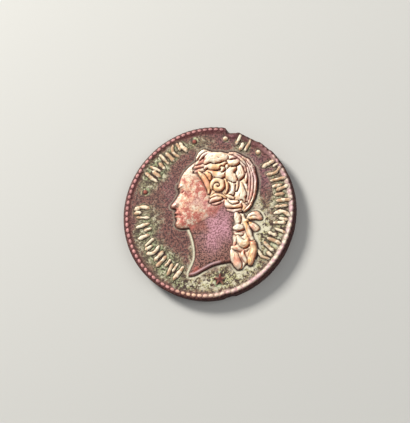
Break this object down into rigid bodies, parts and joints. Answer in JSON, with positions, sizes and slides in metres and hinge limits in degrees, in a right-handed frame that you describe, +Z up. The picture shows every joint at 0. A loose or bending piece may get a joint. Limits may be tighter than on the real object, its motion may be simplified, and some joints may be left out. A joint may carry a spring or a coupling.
{
  "type": "coin",
  "caption": "Worn old French royal copper coin, a bust to the left in relief on its upper side, lying flat on a table.",
  "frame": {"origin": "centre of the coin on the plane of the rim that it rests on", "axes": "+Z up through the coin's thickness, out of the side with the bust; +Y towards the top of the head; the face looks to -X"},
  "size_m": [0.029, 0.029, 0.0027],
  "materials": {
    "copper": "worn and patinated copper, brown with pink highlights and pale green verdigris"
  },
  "bodies": {
    "root": {"coin": "copper"}
  },
  "joints": []
}
